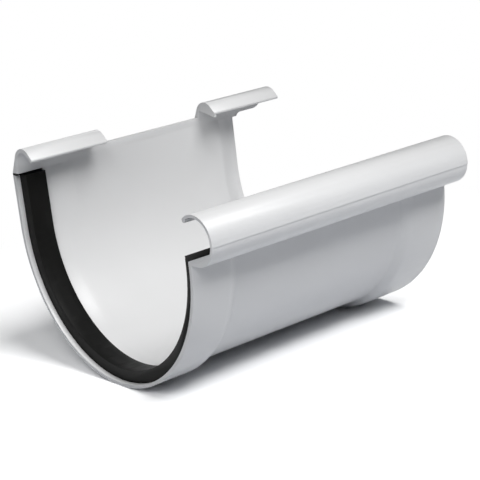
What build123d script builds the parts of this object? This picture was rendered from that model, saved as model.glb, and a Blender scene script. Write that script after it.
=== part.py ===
# Half-round gutter union clip: a moulded trough with a socket at each end, a rolled cover for
# the gutters' front bead, two snap hooks for their back edge and a rubber seal in one socket.
#
# X runs along the trough, the bead cover is on the -Y side and +Z is up. The origin is on the
# floor, under the middle of the length and of the width. Everything is drawn round the trough's
# axis first and moved to its place over the floor at the end. All sizes are millimetres.
from build123d import *
from math import cos, radians, sin, tan
import os

# Driving dimensions of the trough
length = 161.0
wall = 2.2
body_radius = 67.1            # outside of the plain middle stretch
socket_radius = 70.3          # outside of both sockets, which the part lies on
socket_length = 20.5
shoulder_length = 12.0        # stretch over which a socket narrows to the middle
shoulder_ease = 1.5           # how gently a socket rounds into its shoulder
neck_ease = 0.6               # how gently the shoulder runs out into the middle
back_height = 32.4            # back wall's top edge above the axis

# Driving dimensions of the seal and of the groove that it sits in
end_lip = 2.8                 # plastic left in front of the seal
lip_wall = 1.7
seal_width = 12.2
seal_front_height = 5.6       # how far the seal stands in from the lip, at the mouth
seal_back_height = 4.6        # the same at its inner edge
groove_depth = 0.8
rib_width = 1.6               # rib behind the seal
rib_height = 2.0
seal_fit = 0.1                # clearance between the seal and its groove

# Driving dimensions of the front bead cover
cover_radius = 11.9
cover_wall = 1.4
cover_reach = 4.9             # cover's centre, outboard of the sockets' outside
shelf_level = 0.7             # underside of the shelf above the axis
cover_lip_angle = 54.0        # where the cover's free lip ends, up from level, inboard side
cover_lip_thickness = 2.4
parting_angle = 7.0           # mould line on the cover, below its outermost point
parting_step = 0.2

# Driving dimensions of the ramp and the seal's flap inside the cover
ramp_slope = 19.0
ramp_level = 2.4              # ramp's height above the axis at the socket's inner wall
flap_thickness = 2.9
flap_reach = 14.4             # how far the flap runs out from the socket's inner wall

# Driving dimensions of the two back hooks
hook_length = 45.5
hook_wall = 2.0
hook_foot_level = 28.0        # underside of the hook's foot above the axis
hook_crest_level = 41.3       # highest line of the hook above the axis
hook_lean = 28.0              # angle by which the hook's leg leans in from upright
hook_bend_radius = 7.7        # outside radius of the bend at the crest
hook_slope = 44.0             # fall of the hook's top towards the trough
hook_reach = 19.7             # tip, inboard of the sockets' outside
web_thickness = 1.6
web_tip_level = 33.7          # lower corner of the web that closes a hook's inner end, at the tip
web_slope = 12.0              # rise of that web's lower edge from the tip to the leg

# Driving dimensions of the relief in the back wall, under the hook of the plain socket
relief_length = 19.5
relief_top_level = 29.9
relief_depth_angle = 35.0     # its lower end, below the axis
relief_corner = 3.6
hook_corner = 7.0             # rounding at the free lower corner of that hook

# Driving dimensions of the slot through the end lip, for the seal's upper tab
tab_thickness = 1.2

# Worked-out places
half = length / 2
inner_radius = body_radius - wall
socket_inner = socket_radius - wall
seal_start = -half + end_lip
seal_end = seal_start + seal_width
rib_end = seal_end + rib_width
cover_y = -(socket_radius + cover_reach)
cover_z = shelf_level + cover_radius
shelf_top = shelf_level + cover_wall
hook_face = socket_radius
floor_lift = socket_radius
axis_y = (cover_radius - cover_y - hook_face) / 2
core_radius = inner_radius / 2


def skin_profile(socket, middle):
    """The trough cut along its length, filled from one of its skins in to the core radius."""
    neck = half - socket_length - shoulder_length
    shoulder = half - socket_length
    along = (1, 0)
    return make_face([
        Line((-half, socket), (-shoulder, socket)),
        Spline((-shoulder, socket), (-neck, middle), tangents=[along, along],
               tangent_scalars=[shoulder_ease, neck_ease]),
        Line((-neck, middle), (neck, middle)),
        Spline((neck, middle), (shoulder, socket), tangents=[along, along],
               tangent_scalars=[neck_ease, shoulder_ease]),
        Line((shoulder, socket), (half, socket)),
        Line((half, socket), (half, core_radius)),
        Line((half, core_radius), (-half, core_radius)),
        Line((-half, core_radius), (-half, socket)),
    ])


def carried_round(profile, front_height, back_height):
    """Carries a length-wise profile round the half circle and straight up at the front and back."""
    solid = revolve(profile, Axis.X, -180)
    if back_height > 0:
        solid += extrude(profile, amount=back_height, dir=(0, 0, 1))
    if front_height > 0:
        solid += mirror(extrude(profile, amount=front_height, dir=(0, 0, 1)), Plane.XZ)
    return solid


def band(start, end, outer, inner):
    """A rectangle in the length-wise plane: X from start to end, radius from inner to outer."""
    return make_face(Polyline((start, inner), (end, inner), (end, outer), (start, outer), close=True))


def section(face, start, end):
    """Extrudes a face drawn as (Y, Z) from one X to another."""
    placed = Plane(origin=(start, 0, 0), x_dir=(0, 1, 0), z_dir=(1, 0, 0)) * face
    return extrude(placed, amount=end - start, dir=(1, 0, 0))


def block(x_range, y_range, z_range):
    """A box between two values on each axis."""
    size = [high - low for low, high in (x_range, y_range, z_range)]
    centre = [(high + low) / 2 for low, high in (x_range, y_range, z_range)]
    return Pos(*centre) * Box(*size)


def round_the_cover(radius, angle):
    """A point on a circle round the cover's centre; 0 degrees is inboard and 90 is up."""
    return (cover_y + radius * cos(radians(angle)), cover_z + radius * sin(radians(angle)))


def cover_arc(radius, start, end):
    """An arc round the cover's centre."""
    middle = (start + end) / 2
    points = [round_the_cover(radius, angle) for angle in (start, middle, end)]
    return ThreePointArc(*points)


def cover_section():
    """Shelf and rolled cover, which wrap the gutters' front bead."""
    parting = 180 + parting_angle
    inside = cover_radius - cover_wall
    upper_outside = cover_arc(cover_radius, cover_lip_angle, parting)
    step = Line(round_the_cover(cover_radius, parting), round_the_cover(cover_radius - parting_step, parting))
    lower_outside = cover_arc(cover_radius - parting_step, parting, 270)
    shelf_start = Line(round_the_cover(cover_radius - parting_step, 270), round_the_cover(inside, 270))
    skin = cover_arc(inside, cover_lip_angle, 270)
    free_end = Line(round_the_cover(cover_radius, cover_lip_angle), round_the_cover(inside, cover_lip_angle))
    roll = make_face([upper_outside, step, lower_outside, shelf_start, skin, free_end])
    shelf = make_face(Polyline(
        (cover_y, shelf_level + parting_step), (-inner_radius, shelf_level + parting_step),
        (-inner_radius, shelf_top), (cover_y, shelf_top), close=True))
    lip_place = round_the_cover(cover_radius - cover_lip_thickness / 2, cover_lip_angle)
    lip = Pos(*lip_place) * Circle(cover_lip_thickness / 2)
    return roll + shelf + lip


def ramp_height(y, rise=0.0):
    """Height of the ramp's face at a given Y, or of a line parallel to it."""
    outboard = -socket_inner - y
    return ramp_level + rise + outboard * tan(radians(ramp_slope))


def under_ramp(rise):
    """The inside of the cover below the ramp's face."""
    far_y = cover_y - cover_radius
    below = make_face(Polyline(
        (-socket_inner, shelf_level + parting_step), (-socket_inner, ramp_height(-socket_inner, rise)),
        (far_y, ramp_height(far_y, rise)), (far_y, shelf_level - cover_radius), (cover_y, shelf_level - cover_radius),
        (cover_y, shelf_level + parting_step), close=True))
    inside = Pos(cover_y, cover_z) * Circle(cover_radius - cover_wall / 2)
    corner = make_face(Polyline(
        (cover_y, shelf_level + parting_step), (-socket_inner, shelf_level + parting_step),
        (-socket_inner, ramp_height(-socket_inner, rise)), (cover_y, ramp_height(cover_y, rise)), close=True))
    return (below & inside) + corner


def hook_bend():
    """Centre of the bend, placed so that the leaning leg runs into it without a corner."""
    lean = radians(hook_lean)
    centre_z = hook_crest_level - hook_bend_radius
    leg_rise = centre_z + hook_bend_radius * sin(lean) - hook_foot_level
    centre_y = hook_face - leg_rise * tan(lean) - hook_bend_radius * cos(lean)
    return (centre_y, centre_z)


def hook_section():
    """Foot, leaning leg, bend and sloping top of a back hook."""
    centre = hook_bend()
    lean = radians(hook_lean)
    slope = radians(hook_slope)
    top = radians(90) + slope
    middle = (lean + top) / 2
    inner_bend = hook_bend_radius - hook_wall

    def bend_point(radius, angle):
        return (centre[0] + radius * cos(angle), centre[1] + radius * sin(angle))

    outer_start = bend_point(hook_bend_radius, lean)
    outer_end = bend_point(hook_bend_radius, top)
    inner_start = bend_point(inner_bend, lean)
    inner_end = bend_point(inner_bend, top)
    tip_run = outer_end[0] - (hook_face - hook_reach)
    tip_fall = tip_run * tan(slope)
    outer_tip = (outer_end[0] - tip_run, outer_end[1] - tip_fall)
    inner_tip = (inner_end[0] - tip_run, inner_end[1] - tip_fall)
    nose = (
        (outer_tip[0] + inner_tip[0]) / 2 - hook_wall / 2 * cos(slope),
        (outer_tip[1] + inner_tip[1]) / 2 - hook_wall / 2 * sin(slope))
    return make_face([
        Line((hook_face, hook_foot_level), outer_start),
        ThreePointArc(outer_start, bend_point(hook_bend_radius, middle), outer_end),
        Line(outer_end, outer_tip),
        ThreePointArc(outer_tip, nose, inner_tip),
        Line(inner_tip, inner_end),
        ThreePointArc(inner_end, bend_point(inner_bend, middle), inner_start),
        Line(inner_start, (inner_radius, back_height)),
        Line((inner_radius, back_height), (inner_radius, hook_foot_level)),
        Line((inner_radius, hook_foot_level), (hook_face, hook_foot_level)),
    ])


def web_section():
    """The web that closes the top of a hook's inner end."""
    centre = hook_bend()
    slope = radians(hook_slope)
    middle_radius = hook_bend_radius - hook_wall / 2
    tip_y = hook_face - hook_reach
    crest_z = centre[1] + middle_radius / cos(slope)
    tip_z = crest_z - (centre[0] - tip_y) * tan(slope)
    under_top = make_face(Polyline(
        (centre[0], crest_z), (tip_y, tip_z), (tip_y, web_tip_level), (centre[0], web_tip_level), close=True))
    leg_level = web_tip_level + hook_reach * tan(radians(web_slope))
    above = make_face(Polyline(
        (tip_y, web_tip_level), (hook_face, leg_level), (hook_face, hook_crest_level),
        (tip_y, hook_crest_level), close=True))
    return (Pos(*centre) * Circle(middle_radius) + under_top) & above


def hook(start, end, web_start):
    """One back hook with the web at its inner end."""
    return section(hook_section(), start, end) + section(web_section(), web_start, web_start + web_thickness)


def end_relief():
    """Tool that opens the plain socket's back wall below its hook."""
    reach = socket_radius + wall
    bottom = -socket_radius * sin(radians(relief_depth_angle))
    start = half - relief_length
    window = make_face(Polyline(
        (start, relief_top_level), (half + reach, relief_top_level), (half + reach, bottom), (start, bottom),
        close=True))
    corners = window.vertices().group_by(Axis.X)[0]
    window = fillet(corners, relief_corner)
    placed = Plane(origin=(0, inner_radius / 2, 0), x_dir=(1, 0, 0), z_dir=(0, -1, 0)) * window
    return extrude(placed, amount=reach, dir=(0, 1, 0))


def free_corner():
    """Tool that rounds the lower end corner of the hook over the relief."""
    size = hook_corner
    square = make_face(Polyline(
        (half - size, relief_top_level), (half, relief_top_level), (half, relief_top_level + size),
        (half - size, relief_top_level + size), close=True))
    rounding = Pos(half - size, relief_top_level + size) * Circle(size)
    corner = square - rounding
    placed = Plane(origin=(0, inner_radius - wall, 0), x_dir=(1, 0, 0), z_dir=(0, -1, 0)) * corner
    return extrude(placed, amount=2 * hook_bend_radius, dir=(0, 1, 0))


def tab_slot():
    """The gap through the end lip, under the hook's foot, that the seal's tab fills."""
    return block(
        (-half, seal_start), (socket_inner - wall, socket_radius + wall),
        (hook_foot_level - tab_thickness - seal_fit, hook_foot_level))


def make_body():
    """The moulded trough with its cover, hooks, groove, rib and ramp."""
    outside = skin_profile(socket_radius, body_radius)
    inside = skin_profile(socket_inner, inner_radius)
    trough = carried_round(outside, shelf_top, hook_foot_level) + section(cover_section(), -half, half)
    trough = trough - carried_round(inside, 2 * shelf_top, hook_foot_level)
    neck = half - socket_length - shoulder_length
    back_top = block((-neck, neck), (inner_radius, body_radius), (0, back_height))
    rib = carried_round(
        band(seal_end, rib_end, socket_inner + wall / 2, socket_inner - rib_height), shelf_top, hook_foot_level)
    ramp = section(under_ramp(0.0), -half, rib_end)
    first_hook = hook(-half, -half + hook_length, -half + hook_length - web_thickness)
    second_hook = hook(half - hook_length, half, half - hook_length)
    body = trough + back_top + rib + ramp + first_hook + second_hook
    groove = carried_round(
        band(seal_start, seal_end, socket_inner + groove_depth, core_radius), cover_radius / 2, hook_foot_level)
    mouth = carried_round(
        band(-half, seal_start, socket_radius - lip_wall, core_radius), cover_radius / 2, hook_foot_level)
    return body - groove - mouth - tab_slot() - end_relief() - free_corner()


def flap_section():
    """The seal's flap, which lies on the ramp inside the cover."""
    start = -socket_inner
    end = -socket_inner - flap_reach
    return make_face(Polyline(
        (start + seal_back_height, ramp_height(start + seal_back_height, seal_fit)), (end, ramp_height(end, seal_fit)),
        (end, ramp_height(end, seal_fit + flap_thickness)),
        (start + seal_front_height, ramp_height(start + seal_front_height, seal_fit + flap_thickness)), close=True))


def make_seal():
    """The rubber seal: a strip in the groove, a flap over the ramp and a tab through the lip."""
    start = seal_start + seal_fit
    end = seal_end - seal_fit
    root = socket_inner + groove_depth - seal_fit
    strip = make_face(Polyline(
        (start, root), (end, root), (end, socket_inner - seal_back_height),
        (start, socket_inner - seal_front_height), close=True))
    ring = carried_round(strip, ramp_level, hook_foot_level - tab_thickness)
    flap = section(flap_section(), start, end)
    levels = (hook_foot_level - tab_thickness, hook_foot_level - seal_fit)
    tab = block((-half, seal_start - seal_fit), (root - wall, socket_radius), levels)
    tab_root = block((-half, end), (root - wall, root), levels)
    return ring + flap + tab + tab_root


def main():
    os.makedirs("parts", exist_ok=True)
    place = Pos(0, axis_y, floor_lift)
    body = place * make_body()
    seal = place * make_seal()
    export_step(body, "parts/union_body.step")
    export_step(seal, "parts/rubber_seal.step")


main()
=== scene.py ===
from math import cos, radians, sin

import bmesh
import bpy
from mathutils import Matrix, Vector


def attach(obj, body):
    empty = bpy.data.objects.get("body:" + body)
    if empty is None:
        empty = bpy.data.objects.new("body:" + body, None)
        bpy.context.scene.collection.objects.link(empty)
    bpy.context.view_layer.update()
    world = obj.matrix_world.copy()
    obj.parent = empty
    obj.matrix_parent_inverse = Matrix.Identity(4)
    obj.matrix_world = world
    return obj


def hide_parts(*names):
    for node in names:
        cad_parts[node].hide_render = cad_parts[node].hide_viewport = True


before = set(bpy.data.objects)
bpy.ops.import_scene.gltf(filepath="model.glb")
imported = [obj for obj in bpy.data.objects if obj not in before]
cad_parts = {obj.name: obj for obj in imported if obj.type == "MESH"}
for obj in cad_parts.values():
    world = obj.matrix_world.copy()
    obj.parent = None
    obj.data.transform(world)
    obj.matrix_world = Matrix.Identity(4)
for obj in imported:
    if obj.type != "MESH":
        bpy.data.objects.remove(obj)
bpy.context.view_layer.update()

# Sizes are written in millimetres, as in the part's source, and turned to metres by MM
MM = 0.001
AXIS_Y, AXIS_Z = 8.4, 70.3              # the trough's axis
STEP_Y, STEP_Z = -78.413, 81.474        # the mould's parting line along the rolled cover
COVER_Y, COVER_Z = -66.8, 82.9          # the middle of the rolled cover
RIB_END = -63.9                         # where the rib beside the seal ends
SOCKET_INNER, RIB_INNER, BODY_INNER = 68.1, 66.1, 64.9      # inner radii
WALL = 2.2


# Materials


def linear(hex_colour):
    """A colour written as sRGB hex, as the linear RGBA that shaders take."""
    channels = [int(hex_colour[i:i + 2], 16) / 255 for i in (1, 3, 5)]
    straight = [c / 12.92 if c <= 0.04045 else ((c + 0.055) / 1.055) ** 2.4 for c in channels]
    return (*straight, 1.0)


def add_node(tree, kind, settings=None, values=None, links=None):
    """Adds one node: its settings, its sockets' own values, and its sockets' links."""
    node = tree.nodes.new(kind)
    for name, value in (settings or {}).items():
        setattr(node, name, value)
    for name, value in (values or {}).items():
        node.inputs[name].default_value = value
    for name, source in (links or {}).items():
        tree.links.new(source, node.inputs[name])
    return node


def new_material(name):
    """A material with an empty tree and its output."""
    material = bpy.data.materials.new(name)
    material.use_nodes = True
    material.node_tree.nodes.clear()
    return material, material.node_tree


def moulded_upvc():
    """Light grey-white uPVC, injection moulded: a glossy, faintly bluish skin over an opaque body.
    The mould's polish leaves a long soft waviness, which bends the reflections a little, and
    handling leaves slightly duller patches."""
    material, tree = new_material("moulded_upvc")
    place = add_node(tree, "ShaderNodeTexCoord").outputs["Object"]
    tint = add_node(
        tree, "ShaderNodeTexNoise", values={"Scale": 1 / (45 * MM), "Detail": 3.0},
        links={"Vector": place})
    colour = add_node(
        tree, "ShaderNodeMix", {"data_type": "RGBA"},
        {"A": linear("#DDDDDD"), "B": linear("#E2E2E2")}, {"Factor": tint.outputs["Fac"]})
    handled = add_node(
        tree, "ShaderNodeTexNoise", values={"Scale": 1 / (18 * MM), "Detail": 5.0, "Roughness": 0.6},
        links={"Vector": place})
    dullness = add_node(
        tree, "ShaderNodeMapRange",
        values={"From Min": 0.35, "From Max": 0.7, "To Min": 0.33, "To Max": 0.42},
        links={"Value": handled.outputs["Fac"]})
    wave = add_node(
        tree, "ShaderNodeTexNoise", values={"Scale": 1 / (7 * MM), "Detail": 2.0},
        links={"Vector": place})
    bump = add_node(
        tree, "ShaderNodeBump", values={"Strength": 0.25, "Distance": 0.05 * MM},
        links={"Height": wave.outputs["Fac"]})
    skin = add_node(
        tree, "ShaderNodeBsdfPrincipled",
        values={"IOR": 1.53, "Specular IOR Level": 0.5},
        links={"Base Color": colour.outputs["Result"], "Roughness": dullness.outputs["Result"],
               "Normal": bump.outputs["Normal"]})
    add_node(tree, "ShaderNodeOutputMaterial", links={"Surface": skin.outputs["BSDF"]})
    return material


def moulded_rubber():
    """Black EPDM rubber: a dull charcoal skin with a fine grain and a dusting of pale bloom."""
    material, tree = new_material("moulded_rubber")
    place = add_node(tree, "ShaderNodeTexCoord").outputs["Object"]
    bloom = add_node(
        tree, "ShaderNodeTexNoise", values={"Scale": 1 / (9 * MM), "Detail": 4.0},
        links={"Vector": place})
    colour = add_node(
        tree, "ShaderNodeMix", {"data_type": "RGBA"},
        {"A": linear("#0C0C0B"), "B": linear("#131312")}, {"Factor": bloom.outputs["Fac"]})
    # 0.6 mm grain, coarser than the real one so that it shows
    grain = add_node(
        tree, "ShaderNodeTexNoise", values={"Scale": 1 / (0.6 * MM), "Detail": 2.0},
        links={"Vector": place})
    bump = add_node(
        tree, "ShaderNodeBump", values={"Strength": 0.3, "Distance": 0.06 * MM},
        links={"Height": grain.outputs["Fac"]})
    skin = add_node(
        tree, "ShaderNodeBsdfPrincipled",
        values={"IOR": 1.5, "Specular IOR Level": 0.15, "Roughness": 0.55},
        links={"Base Color": colour.outputs["Result"], "Normal": bump.outputs["Normal"]})
    add_node(tree, "ShaderNodeOutputMaterial", links={"Surface": skin.outputs["BSDF"]})
    return material


# Pieces


def clamped(value):
    return min(max(value, 0), 1)


def sink_parting_line(shape):
    """Deepens the mould's parting line along the rolled cover, so that it shows as a thin dark line."""
    depth = 0.1 * MM
    step = Vector((STEP_Y, STEP_Z)) * MM
    inward = (Vector((COVER_Y, COVER_Z)) * MM - step).normalized() * depth
    for vert in shape.verts:
        if (Vector(vert.co.yz) - step).length < 0.03 * MM:
            vert.co.y += inward.x
            vert.co.z += inward.y


def fill_beside_rib(shape):
    """Runs the trough's inner wall smoothly on from the rib beside the seal, where the solid has a
    narrow hollow behind the rib. The hollow comes back towards the front rim."""
    shoulder_start, shoulder_end = -60.0, -48.0
    slope_length = 7.0              # from the rib's radius to the trough's own
    front_rim, fade = 84.0, 14.0    # heights above the floor
    for vert in shape.verts:
        x, y, z = vert.co / MM
        # Above the axis the arms are straight and upright
        outward = Vector((0, y - AXIS_Y, min(z - AXIS_Z, 0)))
        narrowing = clamped((x - shoulder_start) / (shoulder_end - shoulder_start))
        middle_of_wall = SOCKET_INNER + WALL / 2 - (SOCKET_INNER - BODY_INNER) * narrowing
        inside_wall = BODY_INNER - 0.1 < outward.length < middle_of_wall
        if RIB_END - 0.05 < x < shoulder_end + 0.1 and inside_wall:
            share = 1 if y > AXIS_Y else clamped((front_rim - z) / fade)
            radius = RIB_INNER - (RIB_INNER - BODY_INNER) * clamped((x - RIB_END) / slope_length)
            vert.co += outward.normalized() * (radius - outward.length) * share * MM
            if x < RIB_END + 0.1 and outward.length > (RIB_INNER + SOCKET_INNER) / 2:
                vert.co.x += 1.0 * share * MM


def tighten_shoulders(shape):
    """Draws each shoulder of the trough in to a shorter, crisper slope, less and less towards the
    back wall."""
    near = (-60.6, -47.4, -60.6, -53.0)     # where it starts and ends, and where it is to do so
    far = (47.4, 60.6, 51.5, 58.5)
    for vert in shape.verts:
        x, y = vert.co.x / MM, vert.co.y / MM
        share = clamped((40 - y) / 30)
        for low, high, new_low, new_high in (near, far):
            if low <= x <= high:
                tight = new_low + (x - low) * (new_high - new_low) / (high - low)
                vert.co.x = (x + (tight - x) * share) * MM


def trim_web_corner(shape):
    """Lifts the lower corner of the web in the nearer hook to the height of the hook's tip."""
    for vert in shape.verts:
        x, y, z = vert.co / MM
        if -37 < x < -34.9 and 58.6 < y < 59.4 and 103.6 < z < 104.6:
            vert.co.z = 105.3 * MM


def weigh_edges(shape, sharp_angle, spare):
    """Gives every sharp edge full rounding, apart from those that lie within a box of y and z, which
    stay crisp."""
    weight = shape.edges.layers.float.new("bevel_weight_edge")
    for edge in shape.edges:
        if len(edge.link_faces) != 2 or edge.calc_face_angle() < sharp_angle:
            continue
        middle = (edge.verts[0].co + edge.verts[1].co) / 2
        inside = bool(spare) and all(low < value < high for value, (low, high) in zip(middle.yz, spare))
        edge[weight] = 0.0 if inside else 1.0
        edge.smooth = not inside


def softened(node_name, piece_name, edge, material, changes=(), spare=None):
    """The solid's own shape with its facets shaded smooth and its sharp edges rounded."""
    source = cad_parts[node_name]
    mesh = source.data.copy()
    mesh.name = piece_name
    shape = bmesh.new()
    shape.from_mesh(mesh)
    bmesh.ops.remove_doubles(shape, verts=shape.verts, dist=0.002 * MM)
    for change in changes:
        change(shape)
    bmesh.ops.dissolve_limit(
        shape, angle_limit=radians(0.4), verts=shape.verts, edges=shape.edges,
        use_dissolve_boundaries=False)
    weigh_edges(shape, radians(32), spare)
    shape.to_mesh(mesh)
    shape.free()
    mesh.materials.clear()
    mesh.materials.append(material)
    piece = bpy.data.objects.new(piece_name, mesh)
    bpy.context.scene.collection.objects.link(piece)
    for polygon in mesh.polygons:
        polygon.use_smooth = True
    bevel = piece.modifiers.new("edge_rounding", "BEVEL")
    bevel.width = edge
    bevel.segments = 2
    bevel.limit_method = "WEIGHT"
    bevel.use_clamp_overlap = True
    bevel.harden_normals = True
    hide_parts(node_name)
    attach(piece, "root")
    return piece


upvc = moulded_upvc()
rubber = moulded_rubber()
parting_line_box = ((-78.9 * MM, -78.1 * MM), (81.2 * MM, 81.7 * MM))
body_changes = (sink_parting_line, fill_beside_rib, tighten_shoulders, trim_web_corner)
body = softened("union_body", "trough_and_hooks", 0.3 * MM, upvc, body_changes, parting_line_box)
seal = softened("rubber_seal", "sealing_strip", 0.25 * MM, rubber)


# Studio


def studio_floor():
    """A wide pale floor that keeps the part's shadow and runs out into a white backdrop. The camera
    and the part's reflections see it brighter than it lights the part, and past the shadow's reach
    it is plain white to them. What it throws back on the part is faintly blue."""
    material, tree = new_material("pale_floor")
    path = add_node(tree, "ShaderNodeLightPath")
    seen = add_node(
        tree, "ShaderNodeMath", {"operation": "MAXIMUM"},
        links={0: path.outputs["Is Camera Ray"], 1: path.outputs["Is Glossy Ray"]}).outputs["Value"]
    colour = add_node(
        tree, "ShaderNodeMix", {"data_type": "RGBA"},
        {"A": (0.49, 0.505, 0.54, 1.0), "B": (1.55, 1.55, 1.55, 1.0)}, {"Factor": seen})
    matt = add_node(tree, "ShaderNodeBsdfDiffuse", links={"Color": colour.outputs["Result"]})
    white = add_node(
        tree, "ShaderNodeEmission", values={"Color": (1.0, 1.0, 1.0, 1.0), "Strength": 1.0})
    place = add_node(tree, "ShaderNodeTexCoord").outputs["Object"]
    distance = add_node(tree, "ShaderNodeVectorMath", {"operation": "LENGTH"}, links={0: place})
    outside = add_node(
        tree, "ShaderNodeMapRange", {"interpolation_type": "SMOOTHSTEP"},
        {"From Min": 0.13, "From Max": 0.30, "To Min": 0.0, "To Max": 1.0},
        {"Value": distance.outputs["Value"]})
    share = add_node(
        tree, "ShaderNodeMath", {"operation": "MULTIPLY"},
        links={0: outside.outputs["Result"], 1: seen})
    either = add_node(tree, "ShaderNodeMixShader", links={0: share.outputs["Value"]})
    tree.links.new(matt.outputs["BSDF"], either.inputs[1])
    tree.links.new(white.outputs["Emission"], either.inputs[2])
    add_node(tree, "ShaderNodeOutputMaterial", links={"Surface": either.outputs["Shader"]})
    mesh = bpy.data.meshes.new("studio_floor")
    reach = 6.0
    corners = [(-reach, -reach, 0), (reach, -reach, 0), (reach, reach, 0), (-reach, reach, 0)]
    mesh.from_pydata(corners, [], [(0, 1, 2, 3)])
    mesh.materials.append(material)
    floor = bpy.data.objects.new("studio_floor", mesh)
    bpy.context.scene.collection.objects.link(floor)


def studio_world():
    """Faint even light from all round, and a white backdrop for what the camera sees past the floor."""
    world = bpy.data.worlds.new("studio_world")
    bpy.context.scene.world = world
    world.use_nodes = True
    tree = world.node_tree
    tree.nodes.clear()
    path = add_node(tree, "ShaderNodeLightPath")
    around = add_node(
        tree, "ShaderNodeBackground", values={"Color": linear("#DCE8F5"), "Strength": 0.04})
    backdrop = add_node(
        tree, "ShaderNodeBackground", values={"Color": (1.0, 1.0, 1.0, 1.0), "Strength": 1.0})
    either = add_node(tree, "ShaderNodeMixShader", links={0: path.outputs["Is Camera Ray"]})
    tree.links.new(around.outputs["Background"], either.inputs[1])
    tree.links.new(backdrop.outputs["Background"], either.inputs[2])
    add_node(tree, "ShaderNodeOutputWorld", links={"Surface": either.outputs["Shader"]})


def soft_box(name, place, aim, width, power):
    """A square soft light at a place, turned towards a point."""
    lamp = bpy.data.lights.new(name, "AREA")
    lamp.shape = "SQUARE"
    lamp.size = width
    lamp.energy = power
    light = bpy.data.objects.new(name, lamp)
    bpy.context.scene.collection.objects.link(light)
    light.location = place
    light.rotation_euler = (Vector(aim) - Vector(place)).to_track_quat("-Z", "Y").to_euler()


def photo_camera():
    """The camera at the photo's angle, distance and lens."""
    azimuth = radians(-38.05)
    elevation = radians(15.3)
    roll = radians(-6.72)
    target = Vector((-4.06, -0.65, 54.14)) * MM
    distance = 739.7 * MM
    back = Vector((sin(azimuth) * cos(elevation), -cos(azimuth) * cos(elevation), sin(elevation)))
    level = Vector((cos(azimuth), sin(azimuth), 0))
    above = back.cross(level)
    right = cos(roll) * level + sin(roll) * above
    up = cos(roll) * above - sin(roll) * level
    lens = bpy.data.cameras.new("photo_camera")
    lens.lens = 111.3
    lens.sensor_width = 36.0
    lens.clip_end = 50.0
    camera = bpy.data.objects.new("photo_camera", lens)
    bpy.context.scene.collection.objects.link(camera)
    turn = Matrix((right, up, back)).transposed().to_4x4()
    camera.matrix_world = Matrix.Translation(target + back * distance) @ turn
    bpy.context.scene.camera = camera


studio_floor()
studio_world()
soft_box("front_box", (0.1, -0.79, 1.22), (0, 0, 0.06), 0.75, 16.0)
soft_box("left_box", (-0.8, -0.75, 0.97), (0, 0, 0.06), 0.6, 7.0)
soft_box("back_box", (0.3, 1.05, 0.8), (0, 0, 0.06), 0.8, 1.8)
photo_camera()
bpy.context.scene.view_settings.view_transform = "Standard"
